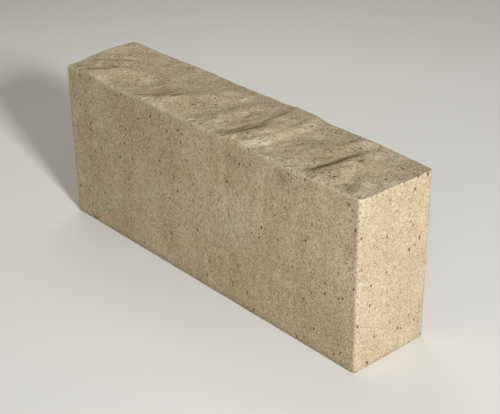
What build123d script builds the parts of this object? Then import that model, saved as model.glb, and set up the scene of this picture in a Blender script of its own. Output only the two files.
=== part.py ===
"""Concrete kerb stone, cast in one piece, with a riven top face.

The stone stands on its bed with +Z up. +X runs along it, and -Y is its front, the face that
is seen when it is laid. The origin is at the middle of the bed. All lengths are in millimetres.
"""

from build123d import *
from collections import namedtuple
import math
import os

# Overall size: the height is taken at the front arris, where the riven face starts.
length = 500.0
width = 105.0
height = 200.0

# The upright corners are rounded by the mould, and the bed has a small arris.
upright_arris = 4.0
bed_arris = 2.0

# The riven face winds: at the left end it climbs from the front arris to the back one,
# and at the right end both are level. The climb is done this far back from the front.
# It keeps most of its height past the middle of the stone, then drops off by this power.
winding_rise = 6.0
winding_reach = 70.0
winding_power = 3.0

# Long swells of the riven face, under the ledges.
swell_rise = 0.5
swell_pitch = 145.0
swell_lean = 40.0

# One ledge of the riven face. Its crest leaves the front arris at `crest` along the stone, and
# leans and bows along the stone on its way to the back. Going along the stone, the face climbs
# ever more steeply until it rounds over at the crest, is level over the tread, and then falls
# away. The ledge fades out at `near` and `far` across the stone.
Ledge = namedtuple("Ledge", "crest lean bow near far rise climb tread fall")
ledges = (
    Ledge(crest=37, lean=95, bow=0, near=-8, far=54, rise=3.0, climb=22, tread=8, fall=34),
    Ledge(crest=78, lean=40, bow=0, near=28, far=92, rise=0.9, climb=24, tread=4, fall=34),
    Ledge(crest=149, lean=82, bow=7, near=-6, far=96, rise=2.5, climb=34, tread=5, fall=40),
    Ledge(crest=232, lean=34, bow=12, near=-10, far=98, rise=1.6, climb=20, tread=5, fall=32),
    Ledge(crest=297, lean=12, bow=13, near=-8, far=114, rise=3.4, climb=26, tread=27, fall=15),
    Ledge(crest=369, lean=42, bow=0, near=-8, far=110, rise=1.0, climb=18, tread=4, fall=22),
    Ledge(crest=420, lean=20, bow=5, near=-4, far=96, rise=2.6, climb=15, tread=8, fall=50),
    Ledge(crest=487, lean=-58, bow=0, near=-4, far=48, rise=1.0, climb=14, tread=2, fall=18),
)
ledge_fade = 16.0

# The riven face is surveyed on a grid that runs well past the stone, so that the smooth
# surface through it is true right up to the stone's edges.
survey_step = 6.0
survey_margin = 40.0
survey_tolerance = 0.05


def ease(share):
    """Goes smoothly from 0 to 1 as the share does."""
    share = min(max(share, 0.0), 1.0)
    return share * share * (3.0 - 2.0 * share)


def ledge_rise(ledge, along, across):
    """How much a ledge lifts the riven face at a place on the stone."""
    fade = ease((across - ledge.near) / ledge_fade) * ease((ledge.far - across) / ledge_fade)
    way_back = across / width
    crest = ledge.crest + ledge.lean * way_back + ledge.bow * math.sin(math.pi * way_back)
    past = along - crest
    if past < 0:
        climbed = max(0.0, 1.0 + past / ledge.climb)
        lift = climbed**3 * (4.0 - 3.0 * climbed)
    else:
        lift = 1.0 - ease((past - ledge.tread) / ledge.fall)
    return ledge.rise * fade * lift


def riven_height(along, across):
    """Height of the riven face over the bed, at a place taken from the front left corner."""
    kept = 1.0 - max(along / length, 0.0) ** winding_power
    winding = winding_rise * ease(across / winding_reach) * kept
    swell = swell_rise * math.sin(2 * math.pi * (along + across * swell_lean / width) / swell_pitch)
    return height + winding + swell + sum(ledge_rise(ledge, along, across) for ledge in ledges)


def survey_places(size):
    """Evenly spaced places over a size and a margin at each end of it."""
    count = math.ceil((size + 2 * survey_margin) / survey_step)
    step = (size + 2 * survey_margin) / count
    return [step * i - survey_margin for i in range(count + 1)]


def survey_point(along, across):
    """Point of the riven face, in the part's own frame."""
    return Vector(along - length / 2, across - width / 2, riven_height(along, across))


# Riven face: one smooth surface through the survey.
survey = [
    [survey_point(along, across) for across in survey_places(width)]
    for along in survey_places(length)
]
riven_face = Face.make_surface_from_array_of_points(survey, tol=survey_tolerance)

# The block as moulded stands clear of the riven face's highest ridge by the ridge's own rise.
ridge_top = max(point.Z for line in survey for point in line)
block_height = ridge_top + (ridge_top - height)

# Kerb stone: the moulded block, split along the riven face.
with BuildPart() as kerb_stone:
    with BuildSketch():
        Rectangle(length, width)
    extrude(amount=block_height)
    fillet(kerb_stone.edges().filter_by(Axis.Z), radius=upright_arris)
    chamfer(kerb_stone.faces().sort_by(Axis.Z)[0].edges(), length=bed_arris)
    split(bisect_by=riven_face, keep=Keep.BOTTOM)

kerb_stone.part.label = "kerb_stone"
os.makedirs("parts", exist_ok=True)
export_step(kerb_stone.part, "parts/kerb_stone.step")
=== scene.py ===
"""Concrete kerb stone with a riven top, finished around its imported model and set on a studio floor.

The model's frame is kept: +X runs along the stone, -Y is its front, +Z is up, and the origin is at
the middle of its bed. Blender's lengths are metres. What is given in millimetres says so.
"""

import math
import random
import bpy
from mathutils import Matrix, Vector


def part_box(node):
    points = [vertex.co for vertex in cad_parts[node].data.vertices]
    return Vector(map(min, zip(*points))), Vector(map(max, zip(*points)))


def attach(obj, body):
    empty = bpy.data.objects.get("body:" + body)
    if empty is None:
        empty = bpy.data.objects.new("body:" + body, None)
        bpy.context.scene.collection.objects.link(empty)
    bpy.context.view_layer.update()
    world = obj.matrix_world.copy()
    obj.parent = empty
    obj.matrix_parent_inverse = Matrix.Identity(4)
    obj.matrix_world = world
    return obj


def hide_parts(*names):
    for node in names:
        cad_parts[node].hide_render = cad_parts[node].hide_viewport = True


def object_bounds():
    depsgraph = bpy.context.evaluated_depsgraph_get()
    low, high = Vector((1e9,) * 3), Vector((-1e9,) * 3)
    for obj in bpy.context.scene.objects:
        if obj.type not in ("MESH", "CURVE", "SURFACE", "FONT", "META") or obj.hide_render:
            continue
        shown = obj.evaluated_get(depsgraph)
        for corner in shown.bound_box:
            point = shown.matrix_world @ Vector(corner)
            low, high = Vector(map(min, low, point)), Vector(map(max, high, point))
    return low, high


bl_info = {
    "name": "Riven Kerb Stone",
    "version": (1, 0, 0),
    "blender": (4, 5, 0),
    "location": "View3D > Sidebar > Kerb Stone",
    "description": "Finishes a cast concrete kerb stone: riven top, pits, worn arrises and sandy skin",
    "category": "Add Mesh",
}

from collections import namedtuple

import bmesh
import bpy
import numpy as np
from mathutils import Quaternion, Vector, noise
from mathutils.bvhtree import BVHTree

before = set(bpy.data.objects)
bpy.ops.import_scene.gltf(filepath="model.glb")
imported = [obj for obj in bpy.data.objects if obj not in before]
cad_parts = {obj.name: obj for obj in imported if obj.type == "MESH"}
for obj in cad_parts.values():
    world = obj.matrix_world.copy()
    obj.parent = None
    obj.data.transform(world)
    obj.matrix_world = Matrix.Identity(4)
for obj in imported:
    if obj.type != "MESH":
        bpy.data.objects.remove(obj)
packed_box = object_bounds()

MM = 0.001
STONE = "kerb_stone"
stone_low, stone_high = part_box(STONE)
stone_width_mm = ((stone_high - stone_low) / MM).y

# Ripples of the riven face, in millimetres, roughly from left to right. A ripple's crest leaves the
# front arris at `crest` along the stone, and leans and bows along it on its way to the back. Going
# along the stone, the face climbs to the crest and then falls. The ripple fades out at `near` and
# `far` across the stone, over the length of a fade, and its crest wanders this far to each side.
Ripple = namedtuple("Ripple", "crest lean bow near far rise climb fall")
RIPPLES = (
    Ripple(crest=-41, lean=134, bow=0, near=32, far=76, rise=2.0, climb=11, fall=22),
    Ripple(crest=-11, lean=123, bow=0, near=18, far=58, rise=1.8, climb=10, fall=20),
    Ripple(crest=24, lean=64, bow=0, near=34, far=68, rise=1.7, climb=11, fall=20),
    Ripple(crest=16, lean=66, bow=0, near=0, far=34, rise=1.4, climb=12, fall=12),
    Ripple(crest=42, lean=88, bow=0, near=-8, far=44, rise=2.6, climb=17, fall=50),
    Ripple(crest=114, lean=70, bow=0, near=24, far=58, rise=0.8, climb=12, fall=10),
    Ripple(crest=105, lean=36, bow=0, near=34, far=62, rise=0.4, climb=5, fall=7),
    Ripple(crest=151, lean=82, bow=7, near=-8, far=16, rise=1.0, climb=6, fall=8),
    Ripple(crest=157, lean=82, bow=7, near=8, far=68, rise=2.2, climb=14, fall=18),
    Ripple(crest=148, lean=82, bow=10, near=50, far=88, rise=1.0, climb=12, fall=12),
    Ripple(crest=152, lean=72, bow=0, near=44, far=70, rise=0.5, climb=5, fall=7),
    Ripple(crest=233, lean=34, bow=12, near=-10, far=16, rise=0.7, climb=4, fall=6),
    Ripple(crest=236, lean=34, bow=13, near=30, far=80, rise=1.0, climb=10, fall=12),
    Ripple(crest=271, lean=30, bow=10, near=12, far=80, rise=1.3, climb=15, fall=12),
    Ripple(crest=304, lean=12, bow=13, near=-8, far=62, rise=2.9, climb=9, fall=17),
    Ripple(crest=308, lean=10, bow=0, near=48, far=96, rise=1.4, climb=9, fall=8),
    Ripple(crest=311, lean=52, bow=0, near=12, far=54, rise=0.4, climb=4, fall=6),
    Ripple(crest=330, lean=60, bow=0, near=-10, far=30, rise=0.9, climb=16, fall=9),
    Ripple(crest=322, lean=42, bow=0, near=32, far=72, rise=0.6, climb=14, fall=8),
    Ripple(crest=370, lean=42, bow=0, near=-8, far=16, rise=0.7, climb=4, fall=6),
    Ripple(crest=374, lean=43, bow=0, near=56, far=104, rise=1.0, climb=13, fall=10),
    Ripple(crest=427, lean=22, bow=3, near=2, far=58, rise=2.8, climb=11, fall=20),
    Ripple(crest=413, lean=42, bow=0, near=42, far=88, rise=1.0, climb=10, fall=9),
    Ripple(crest=436, lean=30, bow=0, near=-8, far=22, rise=1.1, climb=7, fall=10),
    Ripple(crest=491, lean=-58, bow=0, near=0, far=46, rise=1.1, climb=12, fall=12),
)
RIPPLE_FADE = 10.0
RIPPLE_WANDER = 1.4

# Dents of the riven face, in millimetres: the middle's place from the front left corner, the
# dent's size along and across the stone, and its depth.
Dent = namedtuple("Dent", "along across length width depth")
DENTS = (
    Dent(along=150, across=3, length=6, width=9, depth=0.9),
    Dent(along=158, across=18, length=7, width=14, depth=0.6),
    Dent(along=177, across=30, length=15, width=15, depth=1.4),
    Dent(along=228, across=20, length=4, width=8, depth=0.6),
    Dent(along=233, across=2, length=4, width=9, depth=1.0),
    Dent(along=251, across=7, length=6, width=8, depth=0.9),
    Dent(along=315, across=81, length=7, width=8, depth=0.9),
    Dent(along=369, across=49, length=6, width=8, depth=0.8),
    Dent(along=371, across=3, length=4, width=10, depth=1.1),
    Dent(along=382, across=50, length=5, width=9, depth=0.8),
    Dent(along=398, across=53, length=5, width=8, depth=0.8),
    Dent(along=404, across=55, length=6, width=7, depth=1.0),
    Dent(along=402, across=88, length=10, width=14, depth=0.9),
    Dent(along=443, across=60, length=8, width=12, depth=0.7),
    Dent(along=475, across=8, length=4, width=8, depth=0.6),
)

# Patches of the skin, in millimetres: the middle's place from the front left corner, the size along and the
# other way, and the share. Tones are pale where the share is positive and brown where it is negative, and
# crumbs are where the skin broke up. The riven face's tones are partly its own colour and partly painted
# light and painted shade: pale where the face should look lit, and brown where it should look shaded. The
# front's lists measure up from the bed, and the riven face's measure back from the front.
Patch = namedtuple("Patch", "along way length width share")
FRONT_TONES = (
    Patch(along=61, way=165, length=40, width=100, share=0.3),
    Patch(along=330, way=125, length=220, width=90, share=0.28),
    Patch(along=470, way=140, length=110, width=150, share=0.3),
    Patch(along=165, way=168, length=170, width=70, share=-0.3),
    Patch(along=395, way=184, length=44, width=36, share=-0.45),
    Patch(along=325, way=181, length=60, width=24, share=-0.6),
)
RIVEN_TONES_AND_LIGHT = (
    Patch(along=10, way=50, length=48, width=120, share=0.45),
    Patch(along=30, way=98, length=60, width=30, share=0.25),
    Patch(along=48, way=16, length=44, width=34, share=-0.45),
    Patch(along=92, way=8, length=44, width=26, share=0.3),
    Patch(along=122, way=26, length=56, width=54, share=0.45),
    Patch(along=145, way=38, length=30, width=24, share=-0.4),
    Patch(along=174, way=4, length=50, width=24, share=0.4),
    Patch(along=172, way=38, length=60, width=30, share=-0.5),
    Patch(along=245, way=84, length=70, width=44, share=0.4),
    Patch(along=264, way=14, length=60, width=46, share=0.45),
    Patch(along=292, way=56, length=24, width=44, share=-0.3),
    Patch(along=316, way=28, length=24, width=44, share=-0.5),
    Patch(along=338, way=8, length=34, width=50, share=0.55),
    Patch(along=344, way=42, length=26, width=50, share=0.2),
    Patch(along=345, way=84, length=80, width=44, share=0.4),
    Patch(along=368, way=46, length=40, width=26, share=-0.3),
    Patch(along=368, way=14, length=40, width=30, share=0.3),
    Patch(along=408, way=14, length=32, width=46, share=0.55),
    Patch(along=437, way=20, length=24, width=54, share=-0.6),
    Patch(along=438, way=90, length=80, width=44, share=0.5),
    Patch(along=460, way=30, length=40, width=60, share=0.35),
    Patch(along=473, way=20, length=12, width=26, share=-0.5),
    Patch(along=492, way=34, length=34, width=96, share=0.6),
)
FRONT_CRUMBS = (
    Patch(along=401, way=189, length=26, width=28, share=1.0),
    Patch(along=325, way=181, length=64, width=26, share=0.8),
    Patch(along=310, way=115, length=190, width=70, share=0.6),
    Patch(along=430, way=100, length=160, width=70, share=0.6),
)
RIVEN_CRUMBS = (
    Patch(along=210, way=38, length=30, width=30, share=0.7),
    Patch(along=250, way=20, length=30, width=40, share=0.9),
    Patch(along=322, way=14, length=26, width=26, share=1.0),
    Patch(along=322, way=79, length=36, width=20, share=0.8),
    Patch(along=386, way=54, length=54, width=22, share=1.0),
    Patch(along=388, way=94, length=60, width=24, share=0.6),
    Patch(along=430, way=8, length=20, width=24, share=1.0),
    Patch(along=446, way=12, length=26, width=22, share=0.9),
    Patch(along=445, way=58, length=30, width=20, share=0.9),
)

# Chips out of the front arris: the place along it in millimetres, and the size.
Chip = namedtuple("Chip", "along size")
FRONT_CHIPS = (
    Chip(along=20, size=0.8),
    Chip(along=96, size=0.6),
    Chip(along=148, size=1.1),
    Chip(along=231, size=1.0),
    Chip(along=243, size=0.7),
    Chip(along=251, size=0.9),
    Chip(along=260, size=0.7),
    Chip(along=297, size=0.8),
    Chip(along=347, size=0.6),
    Chip(along=369, size=1.2),
    Chip(along=402, size=1.3),
    Chip(along=431, size=1.0),
)

# The air pits that show best: where the middle lies from the front left corner, and the diameter,
# in millimetres. The first list is on the front, measured up from the bed, and the second is on
# the riven face, measured back from the front.
Pit = namedtuple("Pit", "along way diameter")
FRONT_PITS = (
    Pit(along=56, way=127, diameter=2.4),
    Pit(along=107, way=152, diameter=2.2),
    Pit(along=112, way=154, diameter=2.6),
    Pit(along=148, way=175, diameter=2.4),
    Pit(along=181, way=185, diameter=2.2),
    Pit(along=183, way=133, diameter=2.8),
    Pit(along=238, way=135, diameter=2.6),
    Pit(along=206, way=92, diameter=2.4),
    Pit(along=303, way=187, diameter=1.8),
    Pit(along=308, way=183, diameter=2.2),
    Pit(along=318, way=179, diameter=2.0),
    Pit(along=324, way=178, diameter=2.4),
    Pit(along=331, way=179, diameter=2.8),
    Pit(along=340, way=182, diameter=2.2),
    Pit(along=344, way=188, diameter=1.8),
    Pit(along=302, way=149, diameter=2.6),
    Pit(along=307, way=150, diameter=2.0),
    Pit(along=93, way=128, diameter=1.8),
    Pit(along=139, way=131, diameter=2.0),
    Pit(along=196, way=142, diameter=2.2),
    Pit(along=174, way=116, diameter=2.0),
    Pit(along=71, way=114, diameter=1.8),
    Pit(along=168, way=80, diameter=2.2),
    Pit(along=363, way=139, diameter=1.8),
    Pit(along=375, way=148, diameter=2.2),
    Pit(along=391, way=160, diameter=2.2),
    Pit(along=389, way=123, diameter=1.8),
    Pit(along=414, way=144, diameter=2.0),
    Pit(along=433, way=153, diameter=1.8),
    Pit(along=405, way=87, diameter=2.2),
    Pit(along=451, way=97, diameter=2.0),
    Pit(along=491, way=129, diameter=2.0),
    Pit(along=400, way=193, diameter=2.8),
    Pit(along=403, way=186, diameter=2.2),
    Pit(along=387, way=186, diameter=2.4),
    Pit(along=372, way=176, diameter=2.0),
    Pit(along=356, way=162, diameter=1.8),
    Pit(along=371, way=149, diameter=3.0),
    Pit(along=399, way=173, diameter=2.6),
    Pit(along=425, way=127, diameter=3.0),
    Pit(along=488, way=139, diameter=2.8),
    Pit(along=342, way=102, diameter=2.6),
)
RIVEN_PITS = (
    Pit(along=90, way=8, diameter=2.4),
    Pit(along=64, way=10, diameter=1.8),
    Pit(along=91, way=70, diameter=2.2),
    Pit(along=118, way=6, diameter=2.2),
    Pit(along=162, way=68, diameter=2.8),
    Pit(along=193, way=98, diameter=2.8),
    Pit(along=203, way=4, diameter=2.4),
    Pit(along=212, way=33, diameter=2.4),
    Pit(along=217, way=60, diameter=1.8),
    Pit(along=218, way=41, diameter=2.0),
    Pit(along=230, way=48, diameter=3.6),
    Pit(along=235, way=79, diameter=2.8),
    Pit(along=243, way=26, diameter=2.6),
    Pit(along=247, way=28, diameter=2.2),
    Pit(along=258, way=38, diameter=2.4),
    Pit(along=266, way=72, diameter=2.4),
    Pit(along=287, way=39, diameter=2.6),
    Pit(along=317, way=18, diameter=3.2),
    Pit(along=322, way=8, diameter=2.0),
    Pit(along=328, way=16, diameter=2.2),
    Pit(along=319, way=41, diameter=2.4),
    Pit(along=324, way=78, diameter=1.8),
    Pit(along=330, way=78, diameter=2.4),
    Pit(along=372, way=58, diameter=2.4),
    Pit(along=375, way=27, diameter=2.6),
    Pit(along=392, way=38, diameter=2.2),
    Pit(along=362, way=92, diameter=2.4),
    Pit(along=416, way=66, diameter=2.2),
    Pit(along=419, way=82, diameter=2.6),
    Pit(along=430, way=17, diameter=2.4),
    Pit(along=429, way=7, diameter=2.6),
    Pit(along=434, way=5, diameter=2.0),
    Pit(along=437, way=11, diameter=2.4),
    Pit(along=440, way=27, diameter=2.4),
    Pit(along=444, way=52, diameter=2.6),
    Pit(along=445, way=13, diameter=2.8),
    Pit(along=450, way=8, diameter=2.4),
    Pit(along=458, way=68, diameter=2.0),
    Pit(along=464, way=69, diameter=2.0),
    Pit(along=475, way=46, diameter=2.4),
    Pit(along=475, way=65, diameter=2.4),
    Pit(along=489, way=53, diameter=2.4),
    Pit(along=457, way=93, diameter=2.2),
)

# Rows of points. Over an upright arris they stand at these shares of its width. The close rows
# down the sides lie this far below the top arris, in millimetres. Below them the wide rows start
# this far down, number this many, and keep one point in every few.
ARRIS_SHARES = np.array((0.0, 0.08, 0.18, 0.3, 0.48, 0.72, 1.0))
CLOSE_ROWS = (0.4, 0.9, 1.6, 2.6, 4.0, 6.0)
WIDE_ROWS_START = 10.0
WIDE_ROWS = 22
WIDE_EVERY = 4

# Each octave of the noise is this many times finer than the last, and lower by that to this power.
NOISE_FINER = 2.1
NOISE_FALL = 0.9

# The lumps of the split lean along the stone by this much of their way back, as the ledges do.
SPLIT_LEAN = 0.38

# Painted shade darkens the riven face where it climbs along the stone, turned away from the key light, more
# steeply than this, and grows by this much of the slope beyond it.
UNSHADED_SLOPE = 0.12
SHADE_PER_SLOPE = 1.8

# Wear pales the front's top arris, this far back from the front and this far down, in millimetres.
WEAR_BACK = 9.0
WEAR_DOWN = 4.0

# A ray that looks for the stone's surface starts this far off it.
RAY_START = 10 * MM

# The riven face's patches lie on what is above this height over the bed, and the front's on what is
# within this far of it, in millimetres.
RIVEN_FROM = 198.0
FRONT_TO = 0.3

# Faces that meet at more than this angle keep a crisp edge between them.
CRISP_ANGLE = math.radians(45)

# The lamps: which way each lies from the stone's middle, and how wide it is, in metres. The key
# rakes the stone from its right, near enough to light that end more. The floor reaches this far.
Lamp = namedtuple("Lamp", "name way width")
KEY = Lamp(name="key", way=Vector((3.3, -0.95, 1.48)), width=0.45)
FRONT_SOFTBOX = Lamp(name="front_softbox", way=Vector((1.1, -0.9, 0.4)), width=0.8)
BACK_SOFTBOX = Lamp(name="back_softbox", way=Vector((-0.55, 0.35, 0.9)), width=0.6)
FLOOR_REACH = 1.7

# The camera stands where a fit to the stone's corners puts the photograph's, and looks at the
# whole stone. Its places are in metres.
CAMERA_PLACE = Vector((0.9217, -0.7772, 0.7036))
CAMERA_AIM = Vector((0.0306, 0.0, 0.092))
CAMERA_ROLL = math.radians(-0.73)


def linear(hex_colour):
    """Turns an sRGB hex colour to the linear one that Blender works in."""
    shares = [int(hex_colour[i : i + 2], 16) / 255 for i in (1, 3, 5)]
    return tuple(s / 12.92 if s <= 0.04045 else ((s + 0.055) / 1.055) ** 2.4 for s in shares)


def length_property(name, description, default_mm):
    """A setting that is a length, given in millimetres and kept in metres."""
    return bpy.props.FloatProperty(
        name=name, description=description, default=default_mm * MM, min=0.0, unit="LENGTH"
    )


def colour_property(name, description, hex_colour):
    """A setting that is a colour."""
    return bpy.props.FloatVectorProperty(
        name=name, description=description, default=linear(hex_colour), subtype="COLOR", min=0.0, max=1.0
    )


class KerbForm(bpy.types.PropertyGroup):
    """Sizes of the finished stone, besides those of its box."""

    cell: length_property("Cell", "Spacing of the grid over the riven face", 1.1)
    upright_arris: length_property("Upright Arris", "Radius that the mould gives the upright corners", 4.0)
    bed_arris: length_property("Bed Arris", "Width of the small bevel round the bed", 2.0)
    top_arris: length_property("Top Arris", "Usual rounding where the riven face meets the sides", 0.9)
    chip_depth: length_property("Chip Depth", "Depth of a full-sized chip out of the top arris", 1.3)
    chip_spacing: length_property("Chip Spacing", "Usual distance between chips along the top arris", 16.0)
    split_relief: length_property("Split Relief", "Height of the lumps that lie along the ledges", 0.6)
    lump_relief: length_property("Lump Relief", "Height of the small lumps all over the riven face", 0.45)
    side_wave: length_property("Side Wave", "How far the mould's sides are out of flat", 0.25)
    pit_smallest: length_property("Smallest Pit", "Diameter of the smallest scattered pits", 1.2)
    pit_largest: length_property("Largest Pit", "Diameter of the largest scattered pits", 2.8)
    pit_spacing: length_property("Pit Spacing", "Usual distance between scattered air pits", 50.0)
    seed: bpy.props.IntProperty(name="Seed", description="Chooses where the pits and chips lie", default=7)


class KerbFinish(bpy.types.PropertyGroup):
    """Colours and grain of the concrete."""

    skin: colour_property("Skin", "Colour of most of the concrete", "#B09F82")
    brown: colour_property("Brown Stain", "Colour of the browner clouds", "#A4916F")
    pale: colour_property("Pale Bloom", "Colour of the paler clouds", "#BCAC91")
    # Dark and light sand also colour the riven face's patches, partly as painted shade and painted light.
    dark_sand: colour_property("Dark Sand", "Colour of the darkest sand grains", "#84725A")
    light_sand: colour_property("Light Sand", "Colour of the lightest sand grains", "#D0C1A4")
    # This brown paints dirt and painted shade in pits and low places, and painted shade on the climbs, in
    # the crumbs and in the pores.
    dirt_and_shade_brown: colour_property("Hollow", "Colour of the dirt in pits and grooves", "#573F10")
    sand_size: length_property("Sand Size", "Width of a sand grain, coarse enough to show", 1.5)


class KerbStage(bpy.types.PropertyGroup):
    """Floor, lights and camera."""

    floor: colour_property("Floor", "Colour of the floor", "#DAD7D0")
    backdrop: colour_property("Backdrop", "Colour that the camera sees beyond the floor", "#E9E7E2")
    ambient: bpy.props.FloatProperty(name="Ambient", description="Strength of the even light", default=0.17)
    ambient_tint: colour_property("Ambient Tint", "Colour of the even light, a little warm", "#FFF5E2")
    key_tint: colour_property("Key Tint", "Colour of the light at the stone's right", "#F2F7FF")
    key_power: bpy.props.FloatProperty(
        name="Key Power", description="Power of the light at the stone's right", default=200.0, unit="POWER"
    )
    front_power: bpy.props.FloatProperty(
        name="Front Power", description="Power of the softbox before the stone", default=4.7, unit="POWER"
    )
    back_power: bpy.props.FloatProperty(
        name="Back Power", description="Power of the softbox over the stone", default=3.3, unit="POWER"
    )
    focal_length: bpy.props.FloatProperty(
        name="Focal Length", description="Focal length of the camera, in millimetres", default=84.2, min=1.0
    )


def ease(share):
    """Goes smoothly from 0 to 1 as the share does."""
    share = np.clip(share, 0.0, 1.0)
    return share * share * (3.0 - 2.0 * share)


def noise_at(x, y, z, size, octaves=1, stretch=(1.0, 1.0, 1.0)):
    """Noise from about -1 to 1 at each place, with lumps of this size, in the places' own unit.

    Where the places have no z of their own, each number given for it draws another pattern.
    """
    shares = np.stack(np.broadcast_arrays(x, y, z), -1) / (size * np.array(stretch))
    flat = shares.reshape(-1, 3)
    found = np.empty(len(flat))
    for index, place in enumerate(flat.tolist()):
        found[index] = noise.fractal(place, NOISE_FALL, NOISE_FINER, octaves)
    return found.reshape(shares.shape[:-1])


class Outline:
    """The stone's outline from above: a rectangle with rounded corners."""

    def __init__(self, arris):
        self.arris = arris
        self.half = np.array((stone_high.x - stone_low.x, stone_high.y - stone_low.y)) / 2

    def core(self, x, y):
        """Nearest place of the rectangle that the corners' centres span."""
        reach = self.half - self.arris
        return np.clip(x, -reach[0], reach[0]), np.clip(y, -reach[1], reach[1])

    def rounded(self, x, y):
        """Carries the corners of a square grid onto the rounded corners."""
        core_x, core_y = self.core(x, y)
        a, b = (x - core_x) / self.arris, (y - core_y) / self.arris
        round_x = core_x + self.arris * a * np.sqrt(1 - b * b / 2)
        round_y = core_y + self.arris * b * np.sqrt(1 - a * a / 2)
        return round_x, round_y

    def inset(self, x, y, by):
        """Draws the outline's own points in by this much, and those between them in step."""
        core_x, core_y = self.core(x, y)
        keep = 1 - by / self.arris
        return core_x + (x - core_x) * keep, core_y + (y - core_y) * keep

    def way_in(self, x, y):
        """Distance from the outline to a place inside it."""
        past_x = np.abs(x) - (self.half[0] - self.arris)
        past_y = np.abs(y) - (self.half[1] - self.arris)
        outside = np.hypot(np.maximum(past_x, 0), np.maximum(past_y, 0))
        return self.arris - outside - np.minimum(np.maximum(past_x, past_y), 0)


def graded_places(reach, arris, cell):
    """Places from -reach to reach: close rows over an arris at each end, and a cell apart between."""
    close = arris * ARRIS_SHARES
    cells = round((2 * reach - 2 * arris) / cell)
    between = np.linspace(-reach + arris, reach - arris, cells + 1)[1:-1]
    return np.concatenate([close - reach, between, reach - close[::-1]])


def wide_rows(places, reach, arris):
    """Numbers of the rows that the lower sides keep: all over the arrises, and one in a few between."""
    between = [i for i, place in enumerate(places) if abs(place) < reach - 1.5 * arris]
    return sorted(set(range(len(places))) - set(between) | set(between[::WIDE_EVERY]))


def rim_of(grid):
    """The points round a grid from its front left corner, along the front first."""
    return np.concatenate([grid[:, 0], grid[-1, 1:], grid[-2::-1, -1], grid[0, -2:0:-1]])


def ripple_lift(along, across):
    """Height of all the ripples, in millimetres, at places from the front left corner."""
    way_back = across / stone_width_mm
    wander = RIPPLE_WANDER * noise_at(across, along * 0.1, 3.0, size=17.0, octaves=2)
    lift = np.zeros_like(along)
    for ripple in RIPPLES:
        fade = ease((across - ripple.near) / RIPPLE_FADE) * ease((ripple.far - across) / RIPPLE_FADE)
        crest = ripple.crest + ripple.lean * way_back + ripple.bow * np.sin(math.pi * way_back)
        past = along + wander - crest
        climbing = np.maximum(0.0, 1.0 + past / ripple.climb) ** 1.2
        falling = 1.0 - ease(past / ripple.fall)
        lift += ripple.rise * fade * np.where(past < 0, climbing, falling)
    return lift


def dent_depth(along, across):
    """Depth of the dents, in millimetres, at places from the front left corner."""
    depth = np.zeros_like(along)
    ragged = 1.0 + 0.4 * noise_at(along, across, 7.0, size=3.5, octaves=2)
    for dent in DENTS:
        away = 2 * np.hypot((along - dent.along) / dent.length, (across - dent.across) / dent.width)
        depth = np.maximum(depth, dent.depth * ease(1.6 * (1 - away * ragged)))
    return depth


def riven_relief(along, across, form):
    """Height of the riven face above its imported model, in millimetres, at places from its corner."""
    lie = along - SPLIT_LEAN * across
    split = noise_at(lie, across, 0.0, size=15.0, octaves=2, stretch=(1.0, 2.2, 1.0))
    lumps = noise_at(along, across, 11.0, size=6.0, octaves=2)
    lift = ripple_lift(along, across) - dent_depth(along, across)
    # Both kinds of lump take away more than they add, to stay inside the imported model.
    lift += form.split_relief / MM * (0.6 * split - 0.3)
    lift += form.lump_relief / MM * (0.5 * lumps - 0.25)
    return lift


def smoothed(z, passes):
    """A grid of heights, with each one evened out with those next to it, this many times."""
    for _ in range(passes):
        padded = np.pad(z, 1, mode="edge")
        z = (padded[:-2, 1:-1] + padded[2:, 1:-1] + padded[1:-1, :-2] + padded[1:-1, 2:]) / 4
    return z


def dirt_and_shade_at(z, cell):
    """How dark each point of the riven face is painted: darker where it lies low, as dirt and painted
    shade, and where it climbs steeply away from the key light, as painted shade.
    """
    climb = np.gradient(smoothed(z, 6), cell, axis=0)
    low = np.maximum(0.0, (smoothed(z, 20) - z) / MM)
    # Low places get dirt and painted shade, and steep climbs get painted shade.
    return low + SHADE_PER_SLOPE * np.maximum(0.0, climb - UNSHADED_SLOPE)


def packed_height(x, y):
    """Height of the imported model's riven face at each place."""
    packed = BVHTree.FromObject(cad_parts[STONE], bpy.context.evaluated_depsgraph_get())
    above = stone_high.z + RAY_START
    down = Vector((0, 0, -1))
    height = np.empty_like(x)
    for index in np.ndindex(x.shape):
        height[index] = packed.ray_cast(Vector((x[index], y[index], above)), down)[0].z
    return height


def worn_off(outline, x, y, rim_x, rim_y, form, dice):
    """How far the top arris is worn down at each place: its rounding, and the chips out of it."""
    round_by = form.top_arris * (1.0 + 0.5 * noise_at(x / MM, y / MM, 5.0, size=8.0, octaves=2))
    short = np.clip(1 - outline.way_in(x, y) / round_by, 0.0, 1.0)
    worn = round_by * (1 - np.sqrt(1 - short * short))
    steps = np.hypot(np.diff(rim_x, append=rim_x[0]), np.diff(rim_y, append=rim_y[0]))
    rim_place = np.cumsum(steps)
    chips = [(chip.along * MM, chip.size) for chip in FRONT_CHIPS]
    # The gaps between scattered chips vary about the usual one, from a fifth of it upwards.
    place = 0.0
    while place < rim_place[-1]:
        chips.append((place, dice.uniform(0.15, 0.8)))
        place += form.chip_spacing * (0.2 + dice.expovariate(1.25))
    # A small chip is shallow for its width.
    for place, size in chips:
        middle = np.searchsorted(rim_place, place)
        reach = form.chip_depth * (0.8 + 1.6 * size)
        depth = form.chip_depth * size * size
        away = np.hypot(x - rim_x[middle], y - rim_y[middle]) / reach
        worn = np.maximum(worn, depth * (1 - away**1.5))
    return worn


def kept_under(z, top, blend):
    """Lowers what nears or passes the top, so that it stays under it without a flat."""
    room = (top - z) / 2
    return top - room - np.sqrt(room * room + (blend / 2) ** 2)


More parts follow.
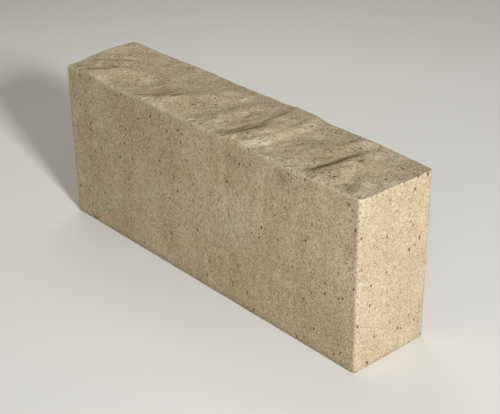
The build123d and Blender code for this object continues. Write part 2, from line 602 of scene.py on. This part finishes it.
def bow_in(outline, x, y, z, form):
    """Carries places on the sides in by the mould's unevenness."""
    wave = np.clip(0.5 + 0.7 * noise_at(x / MM, y / MM, z / MM, size=55.0, octaves=3), 0.0, 1.0)
    return outline.inset(x, y, form.side_wave * wave)


def quads(grid):
    """Faces of a grid of points, seen from the side where it runs anticlockwise."""
    corners = (grid[:-1, :-1], grid[1:, :-1], grid[1:, 1:], grid[:-1, 1:])
    return np.stack(corners, -1).reshape(-1, 4).tolist()


def strip(lower, upper):
    """Faces between two rings of as many points."""
    return np.stack([lower, np.roll(lower, -1), np.roll(upper, -1), upper], -1).tolist()


class Shell:
    """The closed surface as it is built up: its points and its faces."""

    def __init__(self):
        self.points = []
        self.faces = []
        self.count = 0

    def place(self, x, y, z):
        """Adds points, and gives back their numbers in the same layout."""
        x, y, z = np.broadcast_arrays(x, y, z)
        numbers = self.count + np.arange(x.size).reshape(x.shape)
        self.points.append(np.stack([x.ravel(), y.ravel(), z.ravel()], -1))
        self.count += x.size
        return numbers


def near_front(y):
    """Nearness to the front face, from 0 well behind it to 1 on it."""
    return ease(1 - (y - stone_low.y) / (WEAR_BACK * MM))


def build_shell(form, dice):
    """The stone without its pits, as a mesh, and each point's dirt with painted shade, and its wear."""
    outline = Outline(form.upright_arris)
    shell = Shell()
    xs = graded_places(outline.half[0], outline.arris, form.cell)
    ys = graded_places(outline.half[1], outline.arris, form.cell)
    x, y = outline.rounded(*np.meshgrid(xs, ys, indexing="ij"))
    rim = rim_of(np.arange(x.size).reshape(x.shape))
    rim_x, rim_y = x.ravel()[rim], y.ravel()[rim]

    # Riven face. Its height is looked up just inside the outline, where the rays can't miss, and
    # it is rounded off as it nears the top of the box.
    z = packed_height(*outline.inset(x, y, by=0.05 * MM))
    z += riven_relief((x - stone_low.x) / MM, (y - stone_low.y) / MM, form) * MM
    lie = z.copy()
    z -= worn_off(outline, x, y, rim_x, rim_y, form, dice)
    z = kept_under(z, stone_high.z, blend=0.8 * MM)
    rim_z = z.ravel()[rim]
    x.ravel()[rim], y.ravel()[rim] = bow_in(outline, rim_x, rim_y, rim_z, form)
    grid = shell.place(x, y, z)
    shell.faces += quads(grid)

    # Close rows under the top arris, below each of the rim's points.
    last = rim
    close_rows = []
    for drop in CLOSE_ROWS:
        row_z = rim_z - drop * MM
        row = shell.place(*bow_in(outline, rim_x, rim_y, row_z, form), row_z)
        shell.faces += strip(row, last)
        close_rows.append((drop, row))
        last = row

    # Wide rows down to the bed arris, below a part of the rim's points.
    keep_x = wide_rows(xs, outline.half[0], outline.arris)
    keep_y = wide_rows(ys, outline.half[1], outline.arris)
    kept = np.flatnonzero(np.isin(rim, rim_of(grid[np.ix_(keep_x, keep_y)])))
    wide_x, wide_y = rim_x[kept], rim_y[kept]
    start_z = rim_z[kept] - WIDE_ROWS_START * MM
    foot_z = stone_low.z + form.bed_arris
    row = shell.place(*bow_in(outline, wide_x, wide_y, start_z, form), start_z)
    stops = np.append(kept[1:], len(rim))
    for here, (start, stop) in enumerate(zip(kept, stops)):
        above = [last[k % len(rim)] for k in range(start, stop + 1)]
        shell.faces.append([row[here], row[(here + 1) % len(kept)]] + above[::-1])
    last = row
    for share in np.linspace(0, 1, WIDE_ROWS + 1)[1:]:
        row_z = start_z + (foot_z - start_z) * share
        row = shell.place(*bow_in(outline, wide_x, wide_y, row_z, form), row_z)
        shell.faces += strip(row, last)
        last = row

    # Bed, inside its arris.
    bed_x, bed_y = outline.rounded(*np.meshgrid(xs[keep_x], ys[keep_y], indexing="ij"))
    bed = shell.place(*outline.inset(bed_x, bed_y, form.bed_arris), stone_low.z)
    shell.faces += quads(bed.T)
    shell.faces += strip(rim_of(bed), last)

    mesh = bpy.data.meshes.new("stone_without_pits")
    mesh.from_pydata(np.concatenate(shell.points).tolist(), [], [[int(i) for i in f] for f in shell.faces])
    # The first mark is dirt with painted shade, and the second is wear.
    marks = np.zeros((shell.count, 2))
    marks[grid, 0] = dirt_and_shade_at(lie, form.cell)
    marks[grid, 1] = near_front(y)
    for drop, row in close_rows:
        marks[row, 1] = ease(1 - drop / WEAR_DOWN) * near_front(rim_y)
    return mesh, marks


class Face:
    """One face of the stone's box: where it starts, its two edges, and the way into the stone."""

    def __init__(self, start, along, up, inward):
        self.start, self.along, self.up, self.inward = map(Vector, (start, along, up, inward))

    def outside(self, along, up):
        """The place a little off the face, this far along it and up it."""
        off = self.inward * RAY_START
        return self.start + self.along.normalized() * along + self.up.normalized() * up - off


def stone_faces():
    """The faces of the stone's box that have pits, by name."""
    low, size = stone_low, stone_high - stone_low
    long, wide, high = (size.x, 0, 0), (0, size.y, 0), (0, 0, size.z)
    return {
        "front": Face(low, long, high, (0, 1, 0)),
        "back": Face((low.x, stone_high.y, low.z), long, high, (0, -1, 0)),
        "left": Face(low, wide, high, (1, 0, 0)),
        "right": Face((stone_high.x, low.y, low.z), wide, high, (-1, 0, 0)),
        "riven": Face((low.x, low.y, stone_high.z), long, wide, (0, 0, -1)),
    }


def pit_plan(form, dice):
    """Every pit's face, its place along and up the face, and its diameter."""
    faces = stone_faces()
    plan = [("front", pit.along * MM, pit.way * MM, pit.diameter * MM) for pit in FRONT_PITS]
    plan += [("riven", pit.along * MM, pit.way * MM, pit.diameter * MM) for pit in RIVEN_PITS]
    margin = 5 * MM
    for name, face in faces.items():
        length, height = face.along.length, face.up.length
        for _ in range(round(length * height / form.pit_spacing**2)):
            along, up = dice.uniform(margin, length - margin), dice.uniform(margin, height - margin)
            # Most of the scattered pits are small.
            width = form.pit_smallest + (form.pit_largest - form.pit_smallest) * dice.random() ** 2.5
            plan.append((name, along, up, width))
    return [(faces[name], along, up, width) for name, along, up, width in plan]


def build_pits(shell_tree, form, dice):
    """A mesh of ragged balls, one for each pit, sunk into the stone's surface clear of each other."""
    balls = bmesh.new()
    placed = []
    for face, along, up, width in pit_plan(form, dice):
        hit = shell_tree.ray_cast(face.outside(along, up), face.inward)[0]
        radius = width / 2
        if hit is None or any((hit - other).length < 1.6 * (radius + reach) for other, reach in placed):
            continue
        placed.append((hit, radius))
        # The riven face's pits are sunk deeper than those of the sides.
        sunk = dice.uniform(0.3, 0.7) if face.inward.z else dice.uniform(-0.3, 0.3)
        middle = hit + face.inward * radius * sunk
        # Air rises along the mould, which draws a pit out upwards on the sides.
        stretch = Vector((1, 1, dice.uniform(1.0, 1.6)))
        # Wider pits take finer balls.
        subdivisions = 3 if width > 2.4 * MM else 2
        ball = bmesh.ops.create_icosphere(balls, subdivisions=subdivisions, radius=radius)
        for point in ball["verts"]:
            ragged = 1 + 0.5 * noise.noise((point.co + middle) / (0.6 * radius))
            point.co = middle + point.co * stretch * ragged
    mesh = bpy.data.meshes.new("pits")
    balls.to_mesh(mesh)
    balls.free()
    return mesh


def cut(block_mesh, cutter_mesh):
    """The first mesh with the second cut out of it."""
    block = bpy.data.objects.new("block", block_mesh)
    cutter = bpy.data.objects.new("cutter", cutter_mesh)
    for item in (block, cutter):
        bpy.context.scene.collection.objects.link(item)
    boolean = block.modifiers.new("Cut", "BOOLEAN")
    boolean.operation = "DIFFERENCE"
    boolean.solver = "MANIFOLD"
    boolean.object = cutter
    left = bpy.data.meshes.new_from_object(block.evaluated_get(bpy.context.evaluated_depsgraph_get()))
    if len(left.vertices) <= len(block_mesh.vertices):
        raise RuntimeError("The pits could not be cut into the stone")
    for item in (block, cutter):
        bpy.data.objects.remove(item)
    return left


def mark_dirt_shade_and_wear(mesh, shell_tree, shell_mesh, marks):
    """Keeps on each point its dirt and painted shade, which are more the deeper in a pit it lies, and its
    wear.
    """
    values = np.empty((len(mesh.vertices), 2), np.float32)
    for index, point in enumerate(mesh.vertices):
        _, _, face, away = shell_tree.find_nearest(point.co)
        values[index] = marks[list(shell_mesh.polygons[face].vertices)].mean(axis=0)
        # Deeper in a pit it is painted darker, as dirt and painted shade.
        values[index, 0] += away / MM
    for column, name in enumerate(("dirt_and_shade", "wear")):
        kept = mesh.attributes.new(name, "FLOAT", "POINT")
        kept.data.foreach_set("value", np.ascontiguousarray(values[:, column]))


def patched(patches, along, way):
    """How strongly the patches lie over each place, in millimetres."""
    total = np.zeros_like(along)
    for patch in patches:
        away = 2 * np.hypot((along - patch.along) / patch.length, (way - patch.way) / patch.width)
        total += patch.share * ease(1.3 - away)
    return total


def mark_patches(mesh):
    """Keeps on each point the tones and the crumbs of the patches that it lies in, the riven face's tones
    being partly painted light and painted shade.
    """
    places = np.empty(len(mesh.vertices) * 3)
    mesh.vertices.foreach_get("co", places)
    along, across, up = ((places.reshape(-1, 3) - np.array(stone_low)) / MM).T
    on_front = across < FRONT_TO
    on_top = up > RIVEN_FROM
    patches = {"tone_and_painted_light": (FRONT_TONES, RIVEN_TONES_AND_LIGHT), "crumbly": (FRONT_CRUMBS, RIVEN_CRUMBS)}
    for name, (front, riven) in patches.items():
        values = np.where(on_front, patched(front, along, up), patched(riven, along, across) * on_top)
        mesh.attributes.new(name, "FLOAT", "POINT").data.foreach_set("value", values.astype(np.float32))


def add(tree, kind, inputs=None, output=0, **settings):
    """Adds a shader node with its settings and inputs, and gives back one of its outputs."""
    node = tree.nodes.new("ShaderNode" + kind)
    for name, value in settings.items():
        setattr(node, name, value)
    for socket, value in (inputs or {}).items():
        if isinstance(value, bpy.types.NodeSocket):
            tree.links.new(value, node.inputs[socket])
        else:
            node.inputs[socket].default_value = value
    return node.outputs[output] if node.outputs else node


def sand_cast_concrete(finish):
    """Concrete of sand and pale cement, pressed in a steel mould, with its top split while green.

    It is matt all over. The moulded sides show the sand as a fine grain, with short smears drawn upwards
    where the mould was pulled off and browner clouds where the mix was wetter. The riven face is coarser,
    in paler and browner patches that are partly painted light and painted shade, with brown dirt and
    painted shade where it lies low, and painted shade where it climbs away from the key light.
    """
    material = bpy.data.materials.new("sand_cast_concrete")
    material.use_nodes = True
    tree = material.node_tree
    shader = tree.nodes["Principled BSDF"]

    def maths(kind, a, b):
        return add(tree, "Math", {0: a, 1: b}, operation=kind)

    def between(value, low, high, start=0.0, end=1.0):
        """Turns the value's run from low to high smoothly to the run from start to end."""
        spans = {"Value": value, "From Min": low, "From Max": high, "To Min": start, "To Max": end}
        return add(tree, "MapRange", spans, interpolation_type="SMOOTHSTEP")

    def scaled(place, x, y, z):
        return add(tree, "VectorMath", {0: place, 1: (x, y, z)}, operation="MULTIPLY")

    def lumps(place, size_mm, detail, roughness=0.5):
        """Noise with lumps of this size."""
        inputs = {"Vector": place, "Scale": 1 / size_mm, "Detail": detail, "Roughness": roughness}
        return add(tree, "TexNoise", inputs)

    def mixed(share, a, b):
        """Two colours mixed. The node has sockets of several types, and the colours' are these."""
        return add(tree, "Mix", {0: share, 6: a, 7: b}, 2, data_type="RGBA")

    def kept(name):
        """The value that the mesh keeps on its points under this name."""
        return add(tree, "Attribute", attribute_name=name, output="Fac")

    names = ("skin", "brown", "pale", "dark_sand", "light_sand", "dirt_and_shade_brown")
    colours = {name: (*getattr(finish, name), 1) for name in names}
    place = scaled(add(tree, "TexCoord", output="Object"), 1 / MM, 1 / MM, 1 / MM)
    # The riven face is told from the sides by how much it faces up.
    facing = add(tree, "SeparateXYZ", {0: add(tree, "NewGeometry", output="Normal")}, "Z")
    riven = between(facing, 0.4, 0.8)
    dirt_and_shade, tone_and_painted_light, crumbly, wear = (kept(name) for name in ("dirt_and_shade", "tone_and_painted_light", "crumbly", "wear"))

    # Patterns, with their sizes in millimetres.
    clouds = lumps(place, 70, 2)
    blotches = lumps(scaled(place, 1, 1, 0.5), 20, 2)
    # How broken up the skin is, by chance and in the crumbly patches.
    rough = between(lumps(scaled(place, 1, 1, 0.6), 28, 3), 0.4, 0.6, 0.1, 0.8)
    rough = maths("MAXIMUM", rough, crumbly)
    tone_and_painted_light = maths("MULTIPLY", tone_and_painted_light, between(blotches, 0.35, 0.65, 0.6, 1.4))
    mottle = lumps(place, 5.0, 3, 0.6)
    crumbs = lumps(place, 2.0, 3, 0.6)
    smears = lumps(scaled(place, 1, 1, 0.45), 2.6, 3, 0.6)
    sand_mm = finish.sand_size / MM
    grain = {"Vector": place, "Scale": 1 / sand_mm}
    grain_height = add(tree, "TexVoronoi", grain)
    grain_tint = add(tree, "SeparateXYZ", {0: add(tree, "TexVoronoi", grain, "Color")})
    # Pores too small to cut are soft dots in about one cell in four, and in more where it is rough.
    pore_spacing_mm, pore_lumps_mm = 5.0, 2.0
    ragged = add(tree, "TexNoise", {"Vector": place, "Scale": 1 / pore_lumps_mm, "Detail": 1}, "Color")
    pore_place = add(tree, "VectorMath", {0: scaled(place, 1, 1, 0.6), 1: ragged}, operation="ADD")
    pore = {"Vector": pore_place, "Scale": 1 / pore_spacing_mm}
    pore_away = add(tree, "TexVoronoi", pore)
    pore_size = add(tree, "SeparateXYZ", {0: add(tree, "TexVoronoi", pore, "Color")})
    pore_reach = between(maths("ADD", pore_size, maths("MULTIPLY", rough, 0.25)), 0.8, 1.15, 0.0, 0.32)
    pores = between(maths("SUBTRACT", pore_reach, pore_away), 0.0, 0.15)

    # Colour: clouds and blotches, the placed patches with their painted light and shade, smears, sand
    # grains, wear, crumbs and pores with painted shade in them, and dirt with painted shade.
    colour = mixed(between(clouds, 0.4, 0.62, 0.0, 0.6), colours["skin"], colours["brown"])
    colour = mixed(between(blotches, 0.5, 0.75, 0.0, 0.5), colour, colours["pale"])
    # On the riven face these two mixes paint light and shade as well as tone.
    colour = mixed(between(tone_and_painted_light, 0.0, 1.0, 0.0, 0.85), colour, colours["light_sand"])
    colour = mixed(between(tone_and_painted_light, 0.0, -1.0, 0.0, 0.7), colour, colours["dark_sand"])
    colour = mixed(between(smears, 0.52, 0.75, 0.0, 0.15), colour, colours["dark_sand"])
    colour = mixed(between(smears, 0.45, 0.25, 0.0, 0.15), colour, colours["light_sand"])
    colour = mixed(between(mottle, 0.5, 0.7, 0.0, 0.1), colour, colours["light_sand"])
    colour = mixed(between(mottle, 0.5, 0.3, 0.0, 0.1), colour, colours["dark_sand"])
    colour = mixed(between(grain_tint, 0.4, 0.0, 0.0, 0.75), colour, colours["dark_sand"])
    colour = mixed(between(grain_tint, 0.6, 1.0, 0.0, 0.4), colour, colours["light_sand"])
    wear_shade = maths("MULTIPLY", wear, between(mottle, 0.35, 0.6, 0.15, 0.5))
    colour = mixed(wear_shade, colour, colours["light_sand"])
    # Painted shade in the hollows of the crumbs.
    crumb_shade = maths("MULTIPLY", between(crumbs, 0.42, 0.28, 0.0, 0.9), rough)
    colour = mixed(crumb_shade, colour, colours["dirt_and_shade_brown"])
    # Painted shade in the pores.
    colour = mixed(maths("MULTIPLY", pores, 0.9), colour, colours["dirt_and_shade_brown"])
    # Dirt and painted shade in low places and pits, and painted shade on the climbs.
    colour = mixed(between(dirt_and_shade, 0.05, 0.9, 0.0, 0.85), colour, colours["dirt_and_shade_brown"])

    # Height of the fine relief, in millimetres.
    height = maths("MULTIPLY", grain_height, -0.65)
    smear_share = between(riven, 0.0, 1.0, 0.3, 0.15)
    height = maths("ADD", height, maths("MULTIPLY", smears, smear_share))
    mottle_share = between(riven, 0.0, 1.0, 0.15, 0.6)
    height = maths("ADD", height, maths("MULTIPLY", mottle, mottle_share))
    crumb_share = between(rough, 0.0, 1.0, 0.3, 1.8)
    crumb_share = maths("MULTIPLY", crumb_share, between(riven, 0.0, 1.0, 0.5, 1.8))
    height = maths("ADD", height, maths("MULTIPLY", crumbs, crumb_share))
    height = maths("SUBTRACT", height, maths("MULTIPLY", pores, 0.9))
    bump = add(tree, "Bump", {"Strength": 1.0, "Distance": MM, "Height": height})

    tree.links.new(colour, shader.inputs["Base Color"])
    tree.links.new(bump, shader.inputs["Normal"])
    shader.inputs["Roughness"].default_value = 1.0
    shader.inputs["IOR"].default_value = 1.5
    shader.inputs["Specular IOR Level"].default_value = 0.08
    return material


def plain_paint(name, colour):
    """Matt paint of one colour, for the studio floor, which shows no brush mark or grain."""
    material = bpy.data.materials.new(name)
    material.use_nodes = True
    shader = material.node_tree.nodes["Principled BSDF"]
    shader.inputs["Base Color"].default_value = (*colour, 1)
    shader.inputs["Roughness"].default_value = 0.8
    shader.inputs["Specular IOR Level"].default_value = 0.1
    return material


class KERB_OT_add_stone(bpy.types.Operator):
    """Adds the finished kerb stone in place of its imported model"""

    bl_idname = "kerb.add_stone"
    bl_label = "Add Kerb Stone"
    bl_options = {"REGISTER", "UNDO"}

    def execute(self, context):
        form = context.scene.kerb_form
        dice = random.Random(form.seed)
        shell_mesh, marks = build_shell(form, dice)
        shell_tree = BVHTree.FromPolygons(
            [point.co for point in shell_mesh.vertices], [face.vertices[:] for face in shell_mesh.polygons]
        )
        mesh = cut(shell_mesh, build_pits(shell_tree, form, dice))
        mark_dirt_shade_and_wear(mesh, shell_tree, shell_mesh, marks)
        mark_patches(mesh)
        mesh.shade_smooth()
        mesh.set_sharp_from_angle(angle=CRISP_ANGLE)
        mesh.materials.clear()
        mesh.materials.append(sand_cast_concrete(context.scene.kerb_finish))
        stone = bpy.data.objects.new("riven_kerb_stone", mesh)
        context.scene.collection.objects.link(stone)
        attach(stone, "root")
        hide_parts(STONE)
        return {"FINISHED"}


class KERB_OT_add_stage(bpy.types.Operator):
    """Adds the floor, the lights, the world and the camera"""

    bl_idname = "kerb.add_stage"
    bl_label = "Add Stage"
    bl_options = {"REGISTER", "UNDO"}

    def execute(self, context):
        stage = context.scene.kerb_stage
        middle = (packed_box[0] + packed_box[1]) / 2
        self.add_floor(context, stage)
        self.add_world(context, stage)
        self.add_light(context, KEY, middle, stage.key_power, stage.key_tint)
        self.add_light(context, FRONT_SOFTBOX, middle, stage.front_power)
        self.add_light(context, BACK_SOFTBOX, middle, stage.back_power)
        self.add_camera(context, stage)
        context.scene.view_settings.view_transform = "Standard"
        return {"FINISHED"}

    def add_floor(self, context, stage):
        """A wide level floor under the stone."""
        mesh = bpy.data.meshes.new("floor")
        low, high = -FLOOR_REACH, FLOOR_REACH
        corners = [(low, low, 0), (high, low, 0), (high, high, 0), (low, high, 0)]
        mesh.from_pydata(corners, [], [(0, 1, 2, 3)])
        mesh.materials.append(plain_paint("floor_paint", stage.floor))
        floor = bpy.data.objects.new("floor", mesh)
        context.scene.collection.objects.link(floor)

    def add_world(self, context, stage):
        """Even light all round, and a pale backdrop where the camera or a reflection sees it."""
        world = bpy.data.worlds.new("studio")
        world.use_nodes = True
        context.scene.world = world
        tree = world.node_tree
        tree.nodes.clear()
        even = add(tree, "Background", {"Color": (*stage.ambient_tint, 1), "Strength": stage.ambient})
        shown = add(tree, "Background", {"Color": (*stage.backdrop, 1), "Strength": 1.0})
        rays = add(tree, "LightPath").node.outputs
        seen = rays["Is Camera Ray"]
        for ray in ("Is Glossy Ray", "Is Transmission Ray"):
            seen = add(tree, "Math", {0: seen, 1: rays[ray]}, operation="MAXIMUM")
        surface = add(tree, "MixShader", {0: seen, 1: even, 2: shown})
        add(tree, "OutputWorld", {"Surface": surface})

    def add_light(self, context, lamp, middle, power, tint=(1, 1, 1)):
        """A square lamp that looks at the stone's middle."""
        source = bpy.data.lights.new(lamp.name, "AREA")
        source.shape = "SQUARE"
        source.size = lamp.width
        source.energy = power
        source.color = tint
        light = bpy.data.objects.new(lamp.name, source)
        light.location = middle + lamp.way
        light.rotation_mode = "QUATERNION"
        light.rotation_quaternion = (-lamp.way).to_track_quat("-Z", "Y")
        context.scene.collection.objects.link(light)

    def add_camera(self, context, stage):
        """The camera, which sees the stone's front, right end and riven face."""
        lens = bpy.data.cameras.new("camera")
        lens.lens = stage.focal_length
        camera = bpy.data.objects.new("camera", lens)
        camera.location = CAMERA_PLACE
        camera.rotation_mode = "QUATERNION"
        looking = (CAMERA_AIM - CAMERA_PLACE).to_track_quat("-Z", "Y")
        camera.rotation_quaternion = looking @ Quaternion((0, 0, 1), CAMERA_ROLL)
        context.scene.collection.objects.link(camera)
        context.scene.camera = camera


class KERB_PT_panel(bpy.types.Panel):
    """Sizes, colours and stage of the kerb stone, with a button for each piece."""

    bl_label = "Kerb Stone"
    bl_idname = "KERB_PT_panel"
    bl_space_type = "VIEW_3D"
    bl_region_type = "UI"
    bl_category = "Kerb Stone"

    def draw(self, context):
        scene = context.scene
        rows = (
            (scene.kerb_form, None),
            (scene.kerb_finish, KERB_OT_add_stone),
            (scene.kerb_stage, KERB_OT_add_stage),
        )
        for settings, operator in rows:
            for name in settings.__annotations__:
                self.layout.prop(settings, name)
            if operator:
                self.layout.operator(operator.bl_idname)


classes = (KerbForm, KerbFinish, KerbStage, KERB_OT_add_stone, KERB_OT_add_stage, KERB_PT_panel)


def register():
    for cls in classes:
        bpy.utils.register_class(cls)
    bpy.types.Scene.kerb_form = bpy.props.PointerProperty(type=KerbForm)
    bpy.types.Scene.kerb_finish = bpy.props.PointerProperty(type=KerbFinish)
    bpy.types.Scene.kerb_stage = bpy.props.PointerProperty(type=KerbStage)


def unregister():
    del bpy.types.Scene.kerb_stage
    del bpy.types.Scene.kerb_finish
    del bpy.types.Scene.kerb_form
    for cls in reversed(classes):
        bpy.utils.unregister_class(cls)


def main():
    """Builds the stone and its stage."""
    register()
    bpy.ops.kerb.add_stone()
    bpy.ops.kerb.add_stage()


if __name__ == "__main__":
    main()
